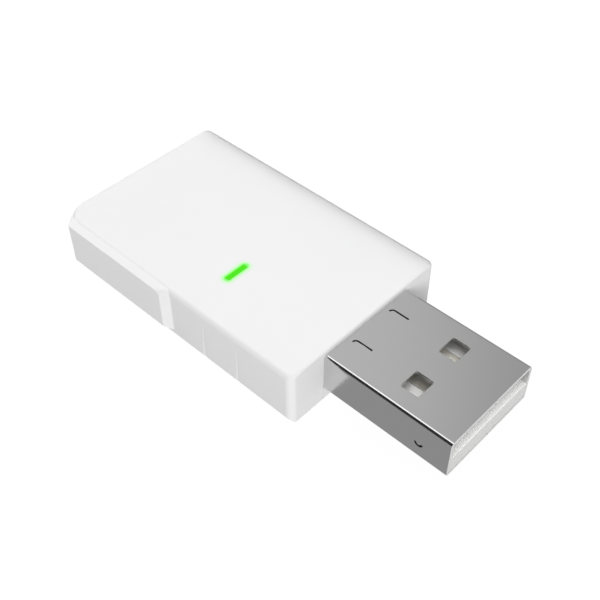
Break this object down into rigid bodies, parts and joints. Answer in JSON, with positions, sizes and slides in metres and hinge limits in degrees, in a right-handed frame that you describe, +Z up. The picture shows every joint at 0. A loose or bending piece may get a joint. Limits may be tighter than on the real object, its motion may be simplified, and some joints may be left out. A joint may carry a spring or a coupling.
{
  "type": "usb bluetooth gateway",
  "caption": "Short plug-in radio gateway stick: flat white moulded housing with side grips and a lit status slot, and a USB type A plug in its front end.",
  "frame": {"origin": "middle of the whole stick's outline, on the flat underside", "axes": "+X along the stick to the plug's tip, +Y across it, +Z up from the underside through the top face"},
  "size_m": [0.0474, 0.0222, 0.0068],
  "materials": {
    "housing_plastic": "fine satin moulded white",
    "lens_plastic": "clear moulded lens, lit green",
    "plug_steel": "bright nickel plate on folded steel",
    "plug_insulator": "white moulded insulator",
    "contact_gold": "gold flash on stamped brass",
    "board_laminate": "green solder mask",
    "chip_black": "black moulding compound",
    "can_metal": "tinned sheet",
    "choke_grey": "dark ferrite",
    "fuse_green": "green laminate with tinned ends",
    "antenna_white": "white fired body",
    "led_body": "pale clear resin",
    "capacitor_tan": "tan fired body with tinned ends",
    "resistor_black": "black glaze with tinned ends"
  },
  "bodies": {
    "root": {"housing": "housing_plastic", "base_cover": "housing_plastic", "light_pipe": "lens_plastic", "usb_shell": "plug_steel", "usb_insulator": "plug_insulator", "usb_contact_power": "contact_gold", "usb_contact_data_minus": "contact_gold", "usb_contact_data_plus": "contact_gold", "usb_contact_ground": "contact_gold", "main_board": "board_laminate", "wifi_processor": "chip_black", "bluetooth_radio": "chip_black", "flash_memory": "chip_black", "voltage_regulator": "chip_black", "surge_protector": "chip_black", "main_crystal": "can_metal", "radio_crystal": "can_metal", "shield_frame": "can_metal", "shield_lid": "can_metal", "power_inductor": "choke_grey", "resettable_fuse": "fuse_green", "wifi_antenna": "antenna_white", "bluetooth_antenna": "antenna_white", "status_led": "led_body", "large_capacitors": "capacitor_tan", "small_capacitors": "capacitor_tan", "small_resistors": "resistor_black"}
  },
  "joints": []
}
